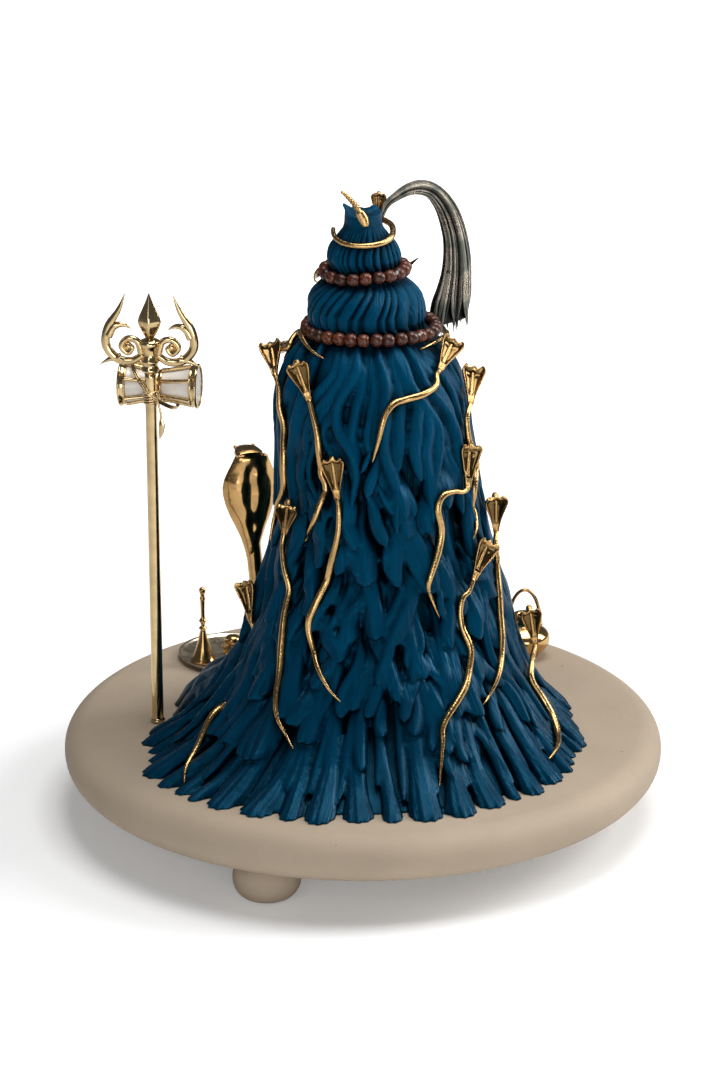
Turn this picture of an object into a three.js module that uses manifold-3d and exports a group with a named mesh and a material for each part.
// Shiva seated on a round plinth, with a cape of hair, snakes, trident, drum and offerings.
// Millimetres, +Z up. The figure faces -Y, and the origin is on the floor under the plinth's centre.

import * as THREE from 'three';
import { mergeVertices } from 'three/addons/utils/BufferGeometryUtils.js';
import Module from 'manifold-3d';

const wasm = await Module();
wasm.setup();

// Gaps between separate pieces
const REST_GAP = 0.3;
const SNAKE_GAP = 0.6;

// Plinth and feet
const PLINTH_RADIUS = 150;
const PLINTH_THICK = 24;
const PLINTH_EDGE = 14;
const FOOT_RADIUS = 16.5;
const FOOT_HEIGHT = 20;
const FOOT_FLAT = 8;
const FOOT_INSET = 28;
const FOOT_NAMES = ['foot_front', 'foot_back_left', 'foot_back_right'];

// Figure: its free form is drawn in millimetres up to the last row, and UNIT makes it FIGURE_HEIGHT tall
const FIGURE_HEIGHT = 264;
const HAIR_ROWS = [
  0, 9, 22, 38, 56, 76, 98, 122, 144, 162, 178, 189, 198, 205.4, 213, 221, 226, 229.5, 233,
  240, 245, 250, 254, 259, 264,
];

// Beads
const BEAD_DIAMETER = 6;
const BEAD_SPACE = 0.1;
const LOWER_BEADS_SHARE = 0.778;
const UPPER_BEADS_SHARE = 0.883;

// Snakes on the hair
const SNAKE_DIAMETER = 3;
const HOOD_WIDTH = 11;
const HOOD_LENGTH = 20;
const HOOD_THICK = 2.4;
const HOOD_BEARING = 38;

// Trident and the drum tied to it
const TRIDENT_BEARING = 125;
const TRIDENT_INSET = 33;
const TRIDENT_TURN = 45;
const SHAFT_DIAMETER = 5.2;
const SHAFT_HEIGHT = 183;
const SHAFT_FLANGE = 9;
const HEAD_HEIGHT = 39;
const HEAD_SPAN = 48;
const DRUM_LENGTH = 38;
const DRUM_END_RADIUS = 9.4;
const DRUM_WAIST_RADIUS = 6.2;
const DRUM_BELOW_HEAD = 10.4;
const DRUM_ASIDE = 2.2;
const DRUM_RIM_WIDTH = 3.4;
const DRUM_RIM_THICK = 1.5;
const DRUM_RIM_LIP = 0.6;
const DRUM_BAND_WIDTH = 4;
const DRUM_LACES = 6;
const LACE_DIAMETER = 1.2;
const TIE_DIAMETER = 1.3;

// Large cobra and the crescent
const COBRA_DIAMETER = 7.6;
const COBRA_TAIL_DIAMETER = 2.4;
const CRESCENT_THICK = 3.3;
const CRESCENT_FLATNESS = 0.3;

// Offerings
const TRAY_RADIUS = 26.5;
const TRAY_FLOOR = 1.4;
const TRAY_RIM = 3.2;
const TRAY_WALL = 1.2;
const TRAY_BEARING = 177.5;
const TRAY_INSET = 1;
const BELL_RADIUS = 6.8;
const BELL_BODY = 13;
const BELL_HEIGHT = 41;
const BELL_WALL = 1;
const BELL_ASIDE = 16.5;
const LAMP_HEIGHT = 12.5;
const LAMP_RADIUS = 5.4;
const LAMP_ASIDE = 1;
const LAMP_BACK = 5;
const POT_RADIUS = 13.5;
const POT_HEIGHT = 23;
const POT_MOUTH_RADIUS = 3.6;
const POT_WALL = 1.6;
const POT_FOOT = 1.4;
const POT_HANDLE_RADIUS = 9.3;
const POT_HANDLE_DIAMETER = 2;
const POT_HANDLE_RISE = 2.1;
const POT_BEARING = -97;
const POT_INSET = 16;
const POT_TURN = -38;

// Worked out from the sizes above
const DRAWN_HEIGHT = HAIR_ROWS[HAIR_ROWS.length - 1];
const UNIT = FIGURE_HEIGHT / DRAWN_HEIGHT;
const PLINTH_TOP = FOOT_HEIGHT + PLINTH_THICK;
const PLINTH_FLAT = PLINTH_RADIUS - PLINTH_EDGE;
const GROUND = PLINTH_TOP + REST_GAP;
const BEAD_RADIUS = BEAD_DIAMETER / 2;
const SNAKE_RADIUS = SNAKE_DIAMETER / 2;
const SHAFT_RADIUS = SHAFT_DIAMETER / 2;

// Materials

function finish(colour, roughness, metalness) {
  return new THREE.MeshStandardMaterial({ color: colour, roughness, metalness });
}

const stoneware = () => finish(0xc9bba8, 0.75, 0);
const blueCast = () => finish(0x0a3f66, 0.55, 0);
const brownWood = () => finish(0x4a1d10, 0.4, 0);
const gilt = () => finish(0xb98a4a, 0.2, 1);
const agedSilver = () => finish(0x9c968a, 0.35, 1);
const creamEnamel = () => finish(0xd9cfc4, 0.4, 0);
const paleGilt = () => finish(0xb0a58c, 0.25, 1);

// Solids

function bare(geometry) {
  geometry.deleteAttribute('normal');
  geometry.deleteAttribute('uv');
  return mergeVertices(geometry, 1e-4);
}

function toSolid(geometry) {
  const clean = bare(geometry);
  return new wasm.Manifold(new wasm.Mesh({
    numProp: 3,
    vertProperties: new Float32Array(clean.attributes.position.array),
    triVerts: new Uint32Array(clean.index.array),
  }));
}

function toGeometry(solid) {
  const mesh = solid.getMesh();
  const geometry = new THREE.BufferGeometry();
  geometry.setAttribute('position', new THREE.BufferAttribute(mesh.vertProperties, 3));
  geometry.setIndex(new THREE.BufferAttribute(mesh.triVerts, 1));
  return geometry;
}

function joined(geometries) {
  return toGeometry(geometries.map(toSolid).reduce((whole, piece) => whole.add(piece)));
}

function lathed(points, sides) {
  const outline = points.map(([radius, height]) => new THREE.Vector2(radius, height));
  return new THREE.LatheGeometry(outline, sides).rotateX(Math.PI / 2);
}

// Bends a closed cylinder along a route: radiusAt gives the radius for a share of the length.
function swept(route, radiusAt, sides, steps) {
  const curve = new THREE.CatmullRomCurve3(route);
  const frames = curve.computeFrenetFrames(steps, false);
  const geometry = bare(new THREE.CylinderGeometry(1, 1, 1, sides, steps));
  const spots = geometry.attributes.position;
  for (let i = 0; i < spots.count; i += 1) {
    const share = THREE.MathUtils.clamp(spots.getY(i) + 0.5, 0, 1);
    const step = Math.round(share * steps);
    const radius = radiusAt(share);
    const point = curve.getPointAt(share);
    point.addScaledVector(frames.binormals[step], spots.getX(i) * radius);
    point.addScaledVector(frames.normals[step], spots.getZ(i) * radius);
    spots.setXYZ(i, point.x, point.y, point.z);
  }
  return geometry;
}

// A wire of one thickness along a route
function wire(route, diameter, sides, steps) {
  const section = new THREE.Shape();
  section.absarc(0, 0, diameter / 2, 0, 2 * Math.PI);
  return new THREE.ExtrudeGeometry(section, {
    steps,
    curveSegments: sides / 2,
    extrudePath: new THREE.CatmullRomCurve3(route),
  });
}

function vectors(points, unit = 1) {
  return points.map(([x, y, z]) => new THREE.Vector3(x * unit, y * unit, z * unit));
}

// Value of a list of [place, value] pairs at a place, straight between them
function along(pairs, place) {
  const next = pairs.findIndex(([start]) => start > place);
  if (next === 0) return pairs[0][1];
  if (next < 0) return pairs[pairs.length - 1][1];
  const [a, from] = pairs[next - 1];
  const [b, to] = pairs[next];
  return THREE.MathUtils.mapLinear(place, a, b, from, to);
}

const radians = THREE.MathUtils.degToRad;

// Hair, drawn in the figure's own millimetres above the plinth: height h, and bearing from +Y towards +X

const HAIR_AXIS = [[0, 16], [120, 13], [160, 9], [190, 4.5], [220, 2], [250, 0], [270, 0]];
const TOPKNOT_PROFILE = [
  [150, 49], [165, 46.5], [178, 43], [185, 40], [191, 36.5], [197, 33], [201, 29.5], [205, 28.4],
  [210, 28.7], [215, 28.8], [221, 27.3], [226, 23], [229.5, 17.6], [233, 16.6], [236.5, 17.4],
  [240, 18], [245, 16.4], [250, 12.5], [254, 9.6], [258, 9], [264, 9.2],
];
const CAPE_RADIUS = 46;
const CAPE_FLARE = 70;
const CAPE_REACH = 48;
const CAPE_TOP = 150;
const FOOT_SPREAD_REACH = 30;
const LOCKS = 24;
const COLUMNS_PER_LOCK = 2;
const LOCK_SECTION = [0, -1];
const LOCK_DEPTH = [[0, 9], [20, 7], [60, 5.5], [150, 3.5], [186, 2.2], [240, 1.8], [264, 1.3]];
const SHINGLE_DEPTH = [[0, 0], [25, 3], [150, 3], [175, 0]];
const SHINGLE_LENGTH = 46;
const GOLDEN_SHARE = 0.618;
const CAPE_EDGE = [[0, 122], [60, 126], [120, 122], [150, 124], [176, 130], [184, 175], [190, 200]];
const CAPE_EDGE_WIDTH = 16;
const UNDER_CAPE = 0.3;

// Radius of the smooth skin that touches the crests of the locks
function crestRadius(bearing, h) {
  const side = Math.sin(radians(bearing));
  const spread = -8 + 6 * side + 18 * Math.max(0, side) ** 2;
  const cape = CAPE_RADIUS + CAPE_FLARE * Math.exp(-h / CAPE_REACH);
  const mean = h < CAPE_TOP ? cape : along(TOPKNOT_PROFILE, h);
  return mean + spread * Math.exp(-h / FOOT_SPREAD_REACH);
}

// The locks wave a little from side to side on their way down.
function lockSway(h) {
  return 3.5 * Math.sin(h / 17) + 2 * Math.sin(h / 7);
}

// 1 on the cape, falling to the hidden core where the body comes out of it
function capeShare(bearing, h) {
  const edge = along(CAPE_EDGE, h);
  const past = THREE.MathUtils.smoothstep(Math.abs(bearing), edge - CAPE_EDGE_WIDTH, edge + CAPE_EDGE_WIDTH);
  return 1 - past * (1 - UNDER_CAPE);
}

function hairRadius(column, bearing, h) {
  const lock = Math.floor(column / COLUMNS_PER_LOCK);
  const section = LOCK_SECTION[column % COLUMNS_PER_LOCK] * along(LOCK_DEPTH, h);
  const place = h / SHINGLE_LENGTH + lock * GOLDEN_SHARE;
  const shingle = along(SHINGLE_DEPTH, h) * (place - Math.floor(place));
  return (crestRadius(bearing, h) + section - shingle) * capeShare(bearing, h);
}

function hairPoint(bearing, h, radius) {
  const angle = radians(bearing);
  return new THREE.Vector3(
    radius * Math.sin(angle) * UNIT,
    (along(HAIR_AXIS, h) + radius * Math.cos(angle)) * UNIT,
    h * UNIT,
  );
}

function hair() {
  const columns = LOCKS * COLUMNS_PER_LOCK;
  const rows = HAIR_ROWS.length - 1;
  const geometry = bare(new THREE.CylinderGeometry(1, 1, 1, columns, rows));
  const spots = geometry.attributes.position;
  for (let i = 0; i < spots.count; i += 1) {
    const row = Math.round((spots.getY(i) + 0.5) * rows);
    const h = HAIR_ROWS[row];
    const turn = Math.atan2(spots.getX(i), spots.getZ(i)) / (2 * Math.PI);
    const column = Math.round((turn + 1) * columns) % columns;
    const atAxis = Math.hypot(spots.getX(i), spots.getZ(i)) < 0.5;
    const plainBearing = 180 - (360 * column) / columns;
    const wave = h < CAPE_TOP ? lockSway(h) : 0;
    const radius = atAxis ? 0 : hairRadius(column, plainBearing, h);
    const point = hairPoint(plainBearing + wave, h, radius);
    spots.setXYZ(i, point.x, point.y, point.z);
  }
  return geometry;
}

// Body, seated cross-legged, in drawn millimetres. Limbs are given for the left side and mirrored.

const LIMBS = [
  { route: [[18, 4, 24], [42, -18, 22], [65, -38, 14], [70, -44, 11]], radii: [22, 20, 13, 9] },
  { route: [[69, -38, 12], [46, -54, 13], [16, -62, 13], [-6, -58, 13]], radii: [11, 13, 11, 7] },
  { route: [[30, 1, 122], [38, -3, 108], [43, -9, 84], [43, -15, 74]], radii: [9, 9.5, 8, 7] },
  { route: [[43, -11, 76], [36, -25, 58], [25, -36, 46], [13, -44, 40]], radii: [8, 7, 5.5, 4.5] },
  { route: [[14, -44, 40], [7, -47, 38], [0, -48, 37]], radii: [4.5, 5.5, 4.5] },
  { route: [[36, -48, 24], [25, -52, 26], [14, -54, 26]], radii: [4, 5.5, 4.5] },
];

function roundedRadius(radii) {
  const pairs = radii.map((radius, i) => [i / (radii.length - 1), radius]);
  return (share) => {
    const end = Math.min(share, 1 - share) * 8;
    return along(pairs, share) * UNIT * (end < 1 ? 0.45 + 0.55 * Math.sqrt(end) : 1);
  };
}

function limb({ route, radii }, side) {
  const points = route.map(([x, y, z]) => [x * side, y, z]);
  return swept(vectors(points, UNIT), roundedRadius(radii), 7, 4);
}

function ball(x, y, z, rx, ry, rz, across, down) {
  const geometry = new THREE.SphereGeometry(1, across, down).rotateX(Math.PI / 2);
  return geometry.scale(rx * UNIT, ry * UNIT, rz * UNIT).translate(x * UNIT, y * UNIT, z * UNIT);
}

function trunk() {
  return [
    ball(0, 0, 24, 38, 30, 23, 9, 5),
    ball(0, -2, 56, 25, 19, 34, 9, 5),
    ball(0, 0, 100, 31, 19, 31, 10, 6),
    ball(0, 3, 121, 38, 14, 11, 9, 5),
    swept(vectors([[0, 2, 122], [0, -3, 136], [0, -6, 156]], UNIT), () => 9.5 * UNIT, 7, 1),
  ];
}

function head() {
  const nose = [[0, -30, 172], [0, -33.5, 165], [0, -31, 160]];
  return [
    ball(0, -11, 170, 17.5, 20.5, 21, 12, 8),
    ball(0, -15, 158, 13, 15, 12.5, 8, 5),
    swept(vectors(nose, UNIT), (share) => (1.2 + 1.6 * share) * UNIT, 5, 2),
    ball(17.5, -8, 163, 2.5, 4, 7, 5, 4),
    ball(-17.5, -8, 163, 2.5, 4, 7, 5, 4),
  ];
}

function figure() {
  const limbs = LIMBS.flatMap((form) => [limb(form, 1), limb(form, -1)]);
  const whole = [hair(), ...trunk(), ...head(), ...limbs].map(toSolid).reduce((all, piece) => all.add(piece));
  const reach = PLINTH_RADIUS * 3;
  const under = new THREE.BoxGeometry(reach, reach, reach).translate(0, 0, -reach / 2);
  return toGeometry(whole.subtract(toSolid(under))).translate(0, 0, GROUND);
}

// Point at a lift above the crests of the hair, in millimetres, on the outward normal
function overHair([bearing, h, lift = 0], clear) {
  const step = 2;
  const here = hairPoint(bearing, h, crestRadius(bearing, h));
  const aside = hairPoint(bearing + step, h, crestRadius(bearing + step, h)).sub(here);
  const above = hairPoint(bearing, h + step, crestRadius(bearing, h + step)).sub(here);
  const normal = above.cross(aside).normalize();
  return { point: here.addScaledVector(normal, clear + lift), normal };
}

// Snakes on the hair: [bearing, height] in drawn degrees and millimetres, with a lift in millimetres.
// The first place is the tip of the head, and the body runs on from the hood to the tail.

const HAIR_SNAKES = [
  [
    [-48, 197.6, 9], [-44, 193.6, 5.5], [-37, 190, 2.5], [-26, 188.4], [-14, 187], [12, 180], [28, 175],
    [36, 164], [39, 151],
  ],
  [[132, 194, 8], [130, 184, 6], [126, 174, 2], [102, 157], [97, 146], [100, 133], [108, 118], [108, 103]],
  [[98, 193, 3], [92, 187, 3], [86, 182, 1], [77, 172], [69, 157], [69, 140], [73, 122], [83, 109]],
  [[-58, 184, 8], [-56, 177, 6], [-53, 168, 3], [-34, 152], [-31, 142], [-27, 130], [-28, 118], [-16, 110]],
  [[62, 156, 2], [62, 150, 2], [59, 140], [56, 129], [58, 116], [70, 76], [66, 61], [53, 43]],
  [[-21, 157, 2], [-17, 147, 2], [-17, 137], [0, 135], [6, 128], [4, 115], [13, 94], [9, 78]],
  [[-52, 123, 4], [-52, 114, 3], [-51, 103, 2], [-48, 91], [-41, 84], [-22, 58], [-13, 46], [-3, 36]],
  [[-25, 108, 3], [-23, 99, 3], [-16, 91, 1], [-2, 80], [-3, 62], [6, 46], [17, 32], [23, 11]],
  [[90, 130, 2], [91, 124, 2], [96, 115], [97, 106], [90, 92], [86, 76], [79, 50], [65, 24]],
  [[-58, 60, 8], [-57, 54, 6], [-56, 46, 3], [-44, 39], [-36, 32], [-35, 22], [-30, 13], [-15, 8]],
  [[127, 79, 5], [122, 73, 3], [117, 64, 1], [110, 48], [101, 32], [97, 21], [94, 14], [89, 6]],
];
const TEMPLE_SNAKE_LEFT = [
  [168, 195, 3], [160, 200, 8], [150, 200, 7], [138, 196, 4], [128, 195, 3], [120, 201, 6.2], [111, 204, 7],
  [101, 203, 6], [93, 200, 3.8], [84, 197, 0.8], [75, 195.6],
];
const TEMPLE_SNAKE_RIGHT = [
  [-168, 195, 3], [-160, 200, 8], [-148, 206, 9], [-132, 208, 9], [-110, 207, 9], [-85, 205, 8], [-65, 203.5, 8],
  [-53, 202, 7.4], [-45, 200, 5.6], [-36, 199, 3], [-26, 198.4, 1], [-15, 197.8],
];

// Half-width of head and hood as shares of HOOD_WIDTH, at shares of HOOD_LENGTH from the tip
const HOOD_FORM = [[0, 0.28], [0.08, 0.44], [0.2, 0.5], [0.4, 0.4], [0.6, 0.28], [0.82, 0.17], [1, 0]];
const SNAKE_STEP = 13;

function snakeSection(distance, length, size) {
  const share = Math.min(distance / length, 1);
  const thin = SNAKE_RADIUS * size * (0.3 + 0.7 * Math.sqrt(1 - share));
  const hoodShare = distance / (HOOD_LENGTH * size);
  if (hoodShare >= 1) return [thin, thin];
  const wide = along(HOOD_FORM, hoodShare) * HOOD_WIDTH * size;
  const flat = (HOOD_THICK / 2) * Math.min(1, 0.5 + hoodShare * 5);
  return [Math.max(wide, hoodShare > 0.5 ? thin : 0), hoodShare > 0.8 ? thin : flat];
}

function snakeStations(length, size) {
  const hoodEnd = HOOD_LENGTH * size;
  const bodySteps = Math.round((length - hoodEnd) / SNAKE_STEP);
  const bodyStep = (length - hoodEnd) / bodySteps;
  const stations = HOOD_FORM.map(([share]) => share * hoodEnd);
  for (let i = 1; i <= bodySteps; i += 1) stations.push(hoodEnd + bodyStep * i);
  return stations;
}

// Hoods turn to the open side of the hair: the outward direction at a distance from the tip of the head
function hoodOutward(normal, distance, size) {
  const turn = 1 - THREE.MathUtils.smoothstep(distance / (HOOD_LENGTH * size), 0.7, 2.2);
  return normal.clone().lerp(hairPoint(HOOD_BEARING, DRAWN_HEIGHT, 1).setZ(0).normalize(), turn).normalize();
}

function snake(places, size = 1, turned = true) {
  const unrolled = new THREE.CatmullRomCurve3(places.map(([bearing, h, lift = 0]) => (
    new THREE.Vector3(bearing, h, lift))));
  const clear = SNAKE_RADIUS * size + SNAKE_GAP;
  const trail = unrolled.getPoints(80).map(({ x, y, z }) => overHair([x, y, z], clear));
  const run = new THREE.CatmullRomCurve3(trail.map(({ point }) => point));
  const length = run.getLength();
  const stations = snakeStations(length, size);
  const steps = stations.length - 1;
  const geometry = bare(new THREE.CylinderGeometry(1, 1, 1, 4, steps));
  const spots = geometry.attributes.position;
  for (let i = 0; i < spots.count; i += 1) {
    const distance = stations[Math.round((0.5 - spots.getY(i)) * steps)];
    const share = Math.min(distance / length, 1);
    const point = run.getPointAt(share);
    const tangent = run.getTangentAt(share);
    const spot = trail[Math.round(run.getUtoTmapping(share) * 80)];
    const normal = turned ? hoodOutward(spot.normal, distance, size) : spot.normal;
    const across = new THREE.Vector3().crossVectors(normal, tangent).normalize();
    const outward = new THREE.Vector3().crossVectors(tangent, across);
    const [wide, thick] = snakeSection(distance, length, size);
    point.addScaledVector(across, spots.getX(i) * wide).addScaledVector(outward, spots.getZ(i) * thick);
    spots.setXYZ(i, point.x, point.y, point.z);
  }
  return geometry.translate(0, 0, GROUND);
}

// Beads: a ring whose thickness swells and narrows once for each bead

const STEPS_PER_BEAD = 2;
const BEAD_NECK_SHARE = 0.45;

function beadString(share) {
  const h = share * DRAWN_HEIGHT;
  const ring = crestRadius(180, h) * UNIT + REST_GAP + BEAD_RADIUS;
  const beads = Math.round((2 * Math.PI * ring) / (BEAD_DIAMETER + BEAD_SPACE));
  const geometry = bare(new THREE.TorusGeometry(ring, 1, 4, beads * STEPS_PER_BEAD));
  const spots = geometry.attributes.position;
  for (let i = 0; i < spots.count; i += 1) {
    const angle = Math.atan2(spots.getY(i), spots.getX(i));
    const step = Math.round(((angle + 2 * Math.PI) / (2 * Math.PI)) * beads * STEPS_PER_BEAD);
    const thick = BEAD_RADIUS * (step % STEPS_PER_BEAD === 0 ? BEAD_NECK_SHARE : 1);
    const away = Math.hypot(spots.getX(i), spots.getY(i)) - ring;
    const radius = ring + away * thick;
    spots.setXYZ(i, radius * Math.cos(angle), radius * Math.sin(angle), spots.getZ(i) * thick);
  }
  return geometry.translate(0, along(HAIR_AXIS, h) * UNIT, GROUND + h * UNIT);
}

// What stands out of the topknot, in drawn millimetres

const STREAM_ROUTE = [
  [-10.6, 0, 256.5], [-14, 0, 262], [-21, 0, 265.6], [-31, 0, 268], [-41.5, 0, 265.3], [-49, 0, 258],
  [-54, 0, 249], [-57.2, 0, 238.5], [-58.3, 0, 226], [-57.6, 0, 214], [-56.6, 0, 203], [-56.8, 0, 197],
];
const STREAM_HALF_WIDTH = [[0, 1.3], [0.25, 2.4], [0.35, 3.4], [0.45, 5.2], [0.6, 8], [0.8, 10.4], [1, 12]];
const STREAM_DEPTH_SHARE = 0.42;
// Each tip: where it leaves the stream, then its end
const STREAM_TIP_ROOT = 202;
const STREAM_TIPS = [[-64.8, -65.5, 190], [-58.3, -58.5, 190.5], [-51, -50.5, 192]];

function stream() {
  const width = (share) => along(STREAM_HALF_WIDTH, share) * UNIT;
  const curve = new THREE.CatmullRomCurve3(vectors(STREAM_ROUTE, UNIT));
  const geometry = bare(new THREE.CylinderGeometry(1, 1, 1, 8, 11));
  const spots = geometry.attributes.position;
  for (let i = 0; i < spots.count; i += 1) {
    const share = THREE.MathUtils.clamp(spots.getY(i) + 0.5, 0, 1);
    const point = curve.getPointAt(share);
    const run = curve.getTangentAt(share);
    const half = width(share);
    const inPlane = spots.getX(i) * half;
    point.x += run.z * inPlane;
    point.z -= run.x * inPlane;
    point.y -= spots.getZ(i) * half * STREAM_DEPTH_SHARE;
    spots.setXYZ(i, point.x, point.y, point.z);
  }
  const tips = STREAM_TIPS.map(([root, x, z]) => {
    const route = vectors([[root, 0, STREAM_TIP_ROOT], [x, 0, z]], UNIT);
    return swept(route, (share) => (4.2 - 3.4 * share) * UNIT, 5, 1);
  });
  return joined([geometry, ...tips]).translate(0, 0, GROUND);
}

const RING_RADIUS = 14.2;
const RING_HEIGHT = 252.5;
const RING_TILT = 2.6;
const RING_VIEW = 38;
const RING_FROM = -170;
const RING_TO = 130;
const TOPKNOT_NECK = [[-7, -12.2, 262], [-6, -13.4, 257]];
const TOPKNOT_HOOD = [-7, -12.6, 263.5, 4.2, 1.1, 5];

function topknotSnake() {
  const route = [...TOPKNOT_NECK];
  for (let bearing = RING_FROM; bearing <= RING_TO; bearing += 25) {
    const angle = radians(bearing);
    const lean = RING_TILT * Math.cos(angle - radians(RING_VIEW));
    route.push([RING_RADIUS * Math.sin(angle), RING_RADIUS * Math.cos(angle), RING_HEIGHT - lean]);
  }
  const body = swept(vectors(route, UNIT), (share) => (1.35 - 0.5 * share ** 3) * UNIT, 5, 20);
  return joined([body, ball(...TOPKNOT_HOOD, 7, 5)]).translate(0, 0, GROUND);
}

function topknotTail() {
  const route = [[6.8, 10.8, 256.4], [6.7, 9.2, 259.6], [8, 7.6, 263.3], [9.8, 6, 267.1], [12.8, 3.4, 271.4],
    [14.6, 1.7, 273.4]];
  const taper = (share) => (1.9 - 1.5 * share) * UNIT;
  return swept(vectors(route, UNIT), taper, 6, 6).translate(0, 0, GROUND);
}

const CRESCENT_RADIUS = 24.3;
const CRESCENT_FLARE = 3;
const CRESCENT_BELOW_BEADS = 2;
const CRESCENT_FROM = 106;
const CRESCENT_TO = 290;
const CRESCENT_TILT = 2.6;

// The last third of the blade bends outwards.
function crescentReach(radius, angle) {
  const turn = (THREE.MathUtils.radToDeg(angle) + 360) % 360;
  return radius + CRESCENT_FLARE * UNIT * THREE.MathUtils.smoothstep(turn, 255, CRESCENT_TO);
}

// The blade is low at its first end and high at its last.
function crescentRise(angle) {
  return -CRESCENT_TILT * UNIT * Math.cos(angle - radians(HOOD_BEARING + 90));
}

function crescent() {
  const h = UPPER_BEADS_SHARE * DRAWN_HEIGHT - CRESCENT_BELOW_BEADS;
  const inner = crestRadius(180, UPPER_BEADS_SHARE * DRAWN_HEIGHT) * UNIT + REST_GAP * 2 + BEAD_DIAMETER;
  const radius = Math.max(CRESCENT_RADIUS * UNIT, inner + CRESCENT_THICK * CRESCENT_FLATNESS);
  const route = [];
  const step = (CRESCENT_TO - CRESCENT_FROM) / 13;
  for (let i = 0; i <= 13; i += 1) {
    const bearing = CRESCENT_FROM + step * i;
    const angle = radians(bearing);
    const flared = crescentReach(radius, angle);
    const height = h * UNIT + crescentRise(angle);
    route.push(new THREE.Vector3(flared * Math.sin(angle), flared * Math.cos(angle), height));
  }
  const thick = (share) => CRESCENT_THICK * (0.1 + 0.9 * Math.sin(Math.PI * share)) * UNIT;
  const geometry = swept(route, thick, 5, 14);
  const spots = geometry.attributes.position;
  for (let i = 0; i < spots.count; i += 1) {
    const plan = Math.hypot(spots.getX(i), spots.getY(i));
    const angle = Math.atan2(spots.getX(i), spots.getY(i));
    const flared = crescentReach(radius, angle);
    const pressed = (flared + (plan - flared) * CRESCENT_FLATNESS) / plan;
    spots.setX(i, spots.getX(i) * pressed);
    spots.setY(i, spots.getY(i) * pressed);
  }
  return geometry.translate(0, along(HAIR_AXIS, h) * UNIT, GROUND);
}

// Large cobra rising from its coil on the left thigh, in drawn millimetres

const COBRA_ROUTE = [
  [17, -52, 35], [20, -45, 35.4], [28, -43.5, 35.8], [33.5, -50, 36], [29, -56.5, 36.8], [22.5, -54, 39.5],
  [24, -50, 47], [28, -49, 57], [30, -50, 78], [31, -51, 101], [31.5, -51, 120], [32, -54, 133.5],
];
const COBRA_HOOD = [31, -50.5, 105];
const COBRA_HOOD_SIZE = [14.4, 3.6, 30];
const COBRA_TURN = -20;
const COBRA_FACE = [31, -55.5, 134.5, 6.4, 9, 3.6];

// Thick along the body, thinner over the first third, which is the tail, and a little at the head
function cobraRadius(share) {
  const tail = THREE.MathUtils.lerp(COBRA_TAIL_DIAMETER, COBRA_DIAMETER, Math.min(1, share * 3));
  const head = 1 - 2 * Math.max(0, share - 0.9);
  return (tail / 2) * head * UNIT;
}

function cobra() {
  const body = swept(vectors(COBRA_ROUTE, UNIT), cobraRadius, 5, 14);
  const [x, y, z] = COBRA_HOOD;
  const [rx, ry, rz] = COBRA_HOOD_SIZE;
  const plate = new THREE.SphereGeometry(1, 7, 6).rotateX(Math.PI / 2);
  const spots = plate.attributes.position;
  for (let i = 0; i < spots.count; i += 1) {
    const narrowing = 1 - 0.45 * Math.max(0, -spots.getZ(i));
    spots.setX(i, spots.getX(i) * narrowing);
  }
  plate.scale(rx * UNIT, ry * UNIT, rz * UNIT).rotateZ(radians(COBRA_TURN));
  plate.translate(x * UNIT, y * UNIT, z * UNIT);
  return joined([body, plate, ball(...COBRA_FACE, 6, 4)]).translate(0, 0, GROUND);
}

// Trident, drawn round its own upright axis with its broad side in the XZ plane

function tridentShaft() {
  const flange = SHAFT_FLANGE / 2;
  return lathed([
    [0, 0], [flange, 0], [flange, flange * 0.2], [SHAFT_RADIUS, flange * 0.7],
    [SHAFT_RADIUS, SHAFT_HEIGHT], [0, SHAFT_HEIGHT],
  ], 8);
}

// The head is drawn 48 mm wide and 39 mm tall, and is stretched to HEAD_SPAN and HEAD_HEIGHT.
const DRAWN_SPAN = 48;
const DRAWN_HEAD = 39;
const SPEAR_ROOT = 15.5;
const SPEAR_WIDEST = 25;
const SPEAR_RADIUS = 5.8;
const COLLAR = [
  [0, 0], [4.4, 0.6], [3.4, 3.2], [4.4, 5], [3.2, 7], [3.2, 11], [5.2, 13.2], [5.2, 14.8], [2.4, 16.4],
  [0, 16.4],
];
const ARM_ROUTE = [[3.5, 8], [9, 4.8], [16, 5.6], [21.4, 12], [20.4, 21], [15, 30], [11.6, 38.4]];
const ARM_RADII = [[0, 1.7], [0.25, 2.5], [0.5, 2.75], [0.68, 2.2], [0.84, 1.25], [1, 0.3]];
const VOLUTE_ROUTE = [[4, 8], [6, 14.5], [11, 15.8], [14, 12], [11, 8.6], [9, 11.4]];
const INNER_BARB = [[20.3, 17], [17.5, 21.6], [13, 22.8], [8.8, 20.8]];
const OUTER_BARB = [[15.5, 5.5], [19.5, 5.8], [24, 4.6]];

// Four-sided blade between two heights, with its radius at each
function blade(from, to, below, above) {
  const geometry = new THREE.CylinderGeometry(above, below, to - from, 4, 1).rotateX(Math.PI / 2);
  return geometry.translate(0, 0, (from + to) / 2);
}

function prong(side) {
  const planar = (points) => points.map(([x, z]) => new THREE.Vector3(x * side, 0, z));
  const thick = (share) => along(ARM_RADII, share);
  return [
    swept(planar(ARM_ROUTE), thick, 4, 7),
    swept(planar(VOLUTE_ROUTE), (share) => 1.6 - 0.7 * share, 4, 5),
    swept(planar(INNER_BARB), (share) => 1.5 - 1.2 * share, 4, 2),
    swept(planar(OUTER_BARB), (share) => 1.4 - 1.1 * share, 4, 1),
  ];
}

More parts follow.
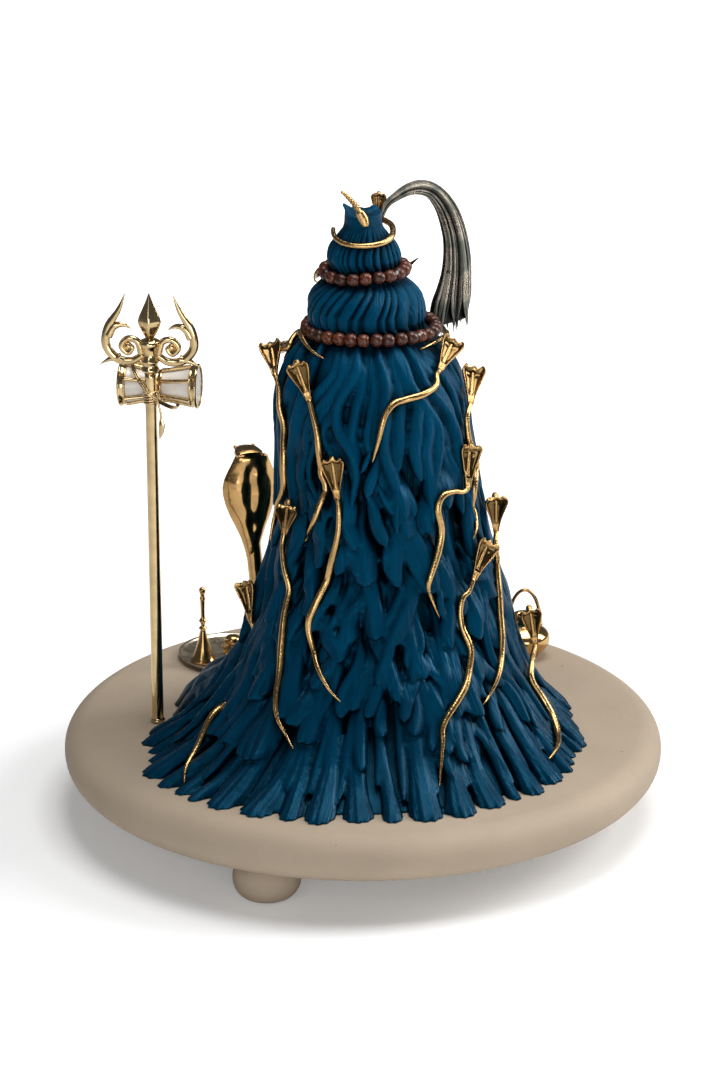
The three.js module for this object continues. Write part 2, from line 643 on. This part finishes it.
function tridentHead() {
  const forms = [
    lathed(COLLAR, 6),
    blade(SPEAR_ROOT, SPEAR_WIDEST, 2.6, SPEAR_RADIUS),
    blade(SPEAR_WIDEST, DRAWN_HEAD, SPEAR_RADIUS, 0.3),
    ...prong(1),
    ...prong(-1),
  ];
  const head = joined(forms).scale(HEAD_SPAN / DRAWN_SPAN, 1, HEAD_HEIGHT / DRAWN_HEAD);
  return head.translate(0, 0, SHAFT_HEIGHT + REST_GAP);
}

// Drum: drawn along Z, then laid along X beside the shaft

const DRUM_SIDES = 8;

function drumRadius(place) {
  const share = Math.abs(place) / (DRUM_LENGTH / 2);
  return THREE.MathUtils.lerp(DRUM_WAIST_RADIUS, DRUM_END_RADIUS, Math.min(1, share * 1.05) ** 1.3);
}

function drumProfile(offset, from, to, steps) {
  return Array.from({ length: steps + 1 }, (_, i) => {
    const place = THREE.MathUtils.lerp(from, to, i / steps);
    return [drumRadius(place) + offset, place];
  });
}

function drumBody() {
  const half = DRUM_LENGTH / 2;
  return lathed([[0, -half], ...drumProfile(0, -half, half, 4), [0, half]], DRUM_SIDES);
}

function drumRim(side) {
  const half = DRUM_LENGTH / 2;
  const out = side * (half + DRUM_RIM_LIP);
  const back = side * (half - DRUM_RIM_WIDTH);
  const low = drumRadius(back) + REST_GAP;
  const high = drumRadius(half) + REST_GAP;
  const thick = DRUM_RIM_THICK;
  const points = [[high, out], [high + thick, out], [low + thick, back], [low, back], [high, out]];
  return lathed(side > 0 ? points.reverse() : points, DRUM_SIDES);
}

function drumBand() {
  const half = DRUM_BAND_WIDTH / 2;
  const inner = drumRadius(half) + REST_GAP;
  const outer = inner + DRUM_RIM_THICK;
  return lathed([[inner, -half], [outer, -half], [outer, half], [inner, half], [inner, -half]], DRUM_SIDES);
}

function drumLace(place) {
  const turn = (2 * Math.PI * (place + 0.5)) / DRUM_LACES;
  const reach = (DRUM_LENGTH - DRUM_RIM_WIDTH) / 2;
  const clear = REST_GAP * 2 + LACE_DIAMETER / 2;
  const route = drumProfile(clear, -reach, reach, 2).map(([radius, spot]) => (
    new THREE.Vector3(radius * Math.cos(turn), radius * Math.sin(turn), spot)));
  return wire(route, LACE_DIAMETER, 4, 2);
}

function drumFrame() {
  const laces = Array.from({ length: DRUM_LACES }, (_, place) => drumLace(place));
  return joined([drumRim(1), drumRim(-1), drumBand(), ...laces]);
}

// Distance between the axes of shaft and drum
const DRUM_AWAY = SHAFT_RADIUS + DRUM_WAIST_RADIUS + REST_GAP * 2 + DRUM_RIM_THICK + LACE_DIAMETER;
const DRUM_AT = SHAFT_HEIGHT - DRUM_BELOW_HEAD;

function placedDrum(geometry) {
  return geometry.rotateY(Math.PI / 2).translate(-DRUM_ASIDE, -DRUM_AWAY, DRUM_AT);
}

// A loop round shaft and drum that slants at 45 degrees, with the end of its strap hanging down
const LOOP_WIDTH_SHARE = 1.6;
const LOOP_NARROWING = 0.45;
const STRAP_ROUTE = [[-3.2, 0, -3], [-5.4, 1, -12], [-4.6, 1.2, -22], [-5.4, 1.2, -30]];

function drumTie() {
  const around = DRUM_WAIST_RADIUS + DRUM_RIM_THICK + LACE_DIAMETER + TIE_DIAMETER + REST_GAP;
  const near = SHAFT_RADIUS + TIE_DIAMETER / 2 + REST_GAP;
  const far = DRUM_AWAY + around;
  const drawn = 0.1;
  const ring = bare(new THREE.TorusGeometry(1, drawn, 4, 14));
  const spots = ring.attributes.position;
  for (let i = 0; i < spots.count; i += 1) {
    const angle = Math.atan2(spots.getY(i), spots.getX(i));
    const out = ((Math.hypot(spots.getX(i), spots.getY(i)) - 1) / drawn) * (TIE_DIAMETER / 2);
    const nearness = (1 + Math.sin(angle)) / 2;
    const wide = (around * LOOP_WIDTH_SHARE + out) * (1 - LOOP_NARROWING * nearness ** 2);
    const y = (near - far) / 2 + ((near + far) / 2 + out) * Math.sin(angle);
    const slant = wide * Math.cos(angle) * Math.SQRT1_2;
    const up = (spots.getZ(i) / drawn) * (TIE_DIAMETER / 2) * Math.SQRT1_2;
    spots.setXYZ(i, slant - up, y, slant + up);
  }
  const strap = wire(vectors(STRAP_ROUTE), TIE_DIAMETER, 4, 4).translate(0, near - 1.8, 0);
  return joined([ring, strap]).translate(0, 0, DRUM_AT);
}

// Offerings

function tray() {
  const edge = TRAY_RADIUS;
  const slope = TRAY_RIM * 0.7;
  return lathed([
    [0, 0], [edge - slope, 0], [edge, slope], [edge, TRAY_RIM], [edge - TRAY_WALL, TRAY_RIM],
    [edge - TRAY_WALL - TRAY_RIM / 2, TRAY_FLOOR], [0, TRAY_FLOOR],
  ], 18);
}

function bell() {
  const wide = BELL_RADIUS;
  const inside = wide - BELL_WALL;
  const top = BELL_BODY;
  const grip = BELL_HEIGHT - BELL_BODY;
  return lathed([
    [0, top - BELL_WALL], [inside * 0.55, top * 0.86], [inside * 0.8, top * 0.45], [inside, 0],
    [wide, 0], [wide, top * 0.1], [wide * 0.82, top * 0.45], [wide * 0.62, top * 0.94],
    [wide * 0.24, top * 1.06], [wide * 0.38, top + grip * 0.14], [wide * 0.18, top + grip * 0.24],
    [wide * 0.18, top + grip * 0.55], [wide * 0.35, top + grip * 0.62], [wide * 0.16, top + grip * 0.7],
    [wide * 0.3, top + grip * 0.82], [wide * 0.34, top + grip * 0.94], [wide * 0.15, BELL_HEIGHT],
    [0, BELL_HEIGHT],
  ], 8);
}

function lamp() {
  const tall = LAMP_HEIGHT;
  const wide = LAMP_RADIUS;
  const bowl = lathed([
    [0, 0], [wide * 0.7, 0], [wide * 0.98, tall * 0.2], [wide * 0.7, tall * 0.44], [wide * 0.44, tall * 0.5],
    [wide * 0.8, tall * 0.68], [wide * 0.66, tall * 0.9], [wide * 0.2, tall], [0, tall],
  ], 8);
  const lip = swept(vectors([
    [-wide * 0.4, 0, tall * 0.3], [-wide * 1.1, 0, tall * 0.55], [-wide * 1.7, 0, tall * 1.05],
  ]), (share) => 1.9 - 1.4 * share, 5, 4);
  return joined([bowl, lip]);
}

function pot() {
  const wide = POT_RADIUS;
  const tall = POT_HEIGHT;
  const mouth = POT_MOUTH_RADIUS;
  const wall = POT_WALL;
  const belly = tall * 0.42;
  return lathed([
    [0, 0], [wide * 0.58, 0], [wide * 0.58, POT_FOOT], [wide * 0.8, tall * 0.14], [wide, belly],
    [wide * 0.84, tall * 0.62], [mouth + wall, tall * 0.76], [mouth + wall, tall * 0.9],
    [mouth + wall * 1.7, tall * 0.95], [mouth + wall * 1.5, tall], [mouth, tall], [mouth, tall * 0.72],
    [wide * 0.84 - wall * 1.3, tall * 0.6 - wall * 0.4], [wide - wall, belly],
    [wide * 0.78 - wall, tall * 0.19], [wide * 0.5, POT_FOOT + wall], [0, POT_FOOT + wall],
  ], 10);
}

// An arch that stands on the shoulders of the pot, taller than a half circle
function potHandle() {
  const root = POT_HEIGHT * 0.73;
  const rise = POT_HANDLE_RADIUS * POT_HANDLE_RISE;
  const reach = POT_HANDLE_RADIUS - POT_HANDLE_DIAMETER / 2;
  const steps = 8;
  const arch = Array.from({ length: steps + 1 }, (_, i) => {
    const angle = (Math.PI * i) / steps;
    return new THREE.Vector3(reach * Math.cos(angle), 0, root + rise * Math.sin(angle));
  });
  return wire(arch, POT_HANDLE_DIAMETER, 4, steps);
}

// Plinth and feet

const EDGE_STEPS = 4;

function plinth() {
  const half = PLINTH_THICK / 2;
  const outline = [[0, -half], [PLINTH_FLAT, -half]];
  const steps = EDGE_STEPS;
  for (let i = 1; i < steps; i += 1) {
    const angle = -Math.PI / 2 + (Math.PI * i) / steps;
    outline.push([PLINTH_FLAT + PLINTH_EDGE * Math.cos(angle), half * Math.sin(angle)]);
  }
  outline.push([PLINTH_FLAT, half], [0, half]);
  return lathed(outline, 36).translate(0, 0, FOOT_HEIGHT + half);
}

function foot() {
  const top = FOOT_HEIGHT - REST_GAP;
  const outline = [[0, 0], [FOOT_FLAT, 0]];
  const steps = EDGE_STEPS;
  for (let i = 1; i < steps; i += 1) {
    const angle = -Math.PI / 2 + (Math.PI * i) / steps;
    const radius = FOOT_FLAT + (FOOT_RADIUS - FOOT_FLAT) * Math.cos(angle);
    outline.push([radius, (top / 2) * (1 + Math.sin(angle))]);
  }
  outline.push([FOOT_FLAT, top], [0, top]);
  return lathed(outline, 12);
}

// Scene graph

const group = new THREE.Group();

function add(name, geometry, material, place = [0, 0, 0], turn = 0) {
  const mesh = new THREE.Mesh(geometry, material);
  mesh.name = name;
  mesh.position.set(...place);
  mesh.rotation.z = radians(turn);
  group.add(mesh);
}

// Place on the plinth at a bearing from +Y, in from the edge of its flat top
function onPlinth(bearing, inset, height = GROUND) {
  const reach = PLINTH_FLAT - inset;
  return [reach * Math.sin(radians(bearing)), reach * Math.cos(radians(bearing)), height];
}

add('plinth', plinth(), stoneware());
FOOT_NAMES.forEach((name, i) => {
  const bearing = radians(180 - (360 * i) / FOOT_NAMES.length);
  const reach = PLINTH_RADIUS - FOOT_INSET;
  add(name, foot(), stoneware(), [reach * Math.sin(bearing), reach * Math.cos(bearing), 0]);
});

add('shiva_figure', figure(), blueCast());
add('bead_string_lower', beadString(LOWER_BEADS_SHARE), brownWood());
add('bead_string_upper', beadString(UPPER_BEADS_SHARE), brownWood());
add('ganga_stream', stream(), agedSilver());
add('topknot_snake', topknotSnake(), gilt());
add('topknot_tail', topknotTail(), gilt());
add('crescent_moon', crescent(), gilt());
HAIR_SNAKES.forEach((places, i) => {
  add(`hair_snake_${String(i + 1).padStart(2, '0')}`, snake(places), gilt());
});
add('temple_snake_left', snake(TEMPLE_SNAKE_LEFT, 0.85, false), gilt());
add('temple_snake_right', snake(TEMPLE_SNAKE_RIGHT, 0.85, false), gilt());
add('lap_cobra', cobra(), gilt());

const tridentAt = onPlinth(TRIDENT_BEARING, TRIDENT_INSET);
add('trident_shaft', tridentShaft(), gilt(), tridentAt, -TRIDENT_TURN);
add('trident_head', tridentHead(), gilt(), tridentAt, -TRIDENT_TURN);
add('damaru_body', placedDrum(drumBody()), creamEnamel(), tridentAt, -TRIDENT_TURN);
add('damaru_frame', placedDrum(drumFrame()), gilt(), tridentAt, -TRIDENT_TURN);
add('damaru_tie', drumTie(), gilt(), tridentAt, -TRIDENT_TURN);

const trayAt = onPlinth(TRAY_BEARING, TRAY_RADIUS + TRAY_INSET);
const onTray = trayAt[2] + TRAY_FLOOR + REST_GAP;
add('offering_tray', tray(), paleGilt(), trayAt);
add('bell', bell(), gilt(), [trayAt[0] + BELL_ASIDE, trayAt[1], onTray]);
add('oil_lamp', lamp(), gilt(), [trayAt[0] + LAMP_ASIDE, trayAt[1] + LAMP_BACK, onTray]);
const potAt = onPlinth(POT_BEARING, POT_INSET);
add('water_pot', pot(), gilt(), potAt, POT_TURN);
add('water_pot_handle', potHandle(), gilt(), potAt, POT_TURN);

export default group;
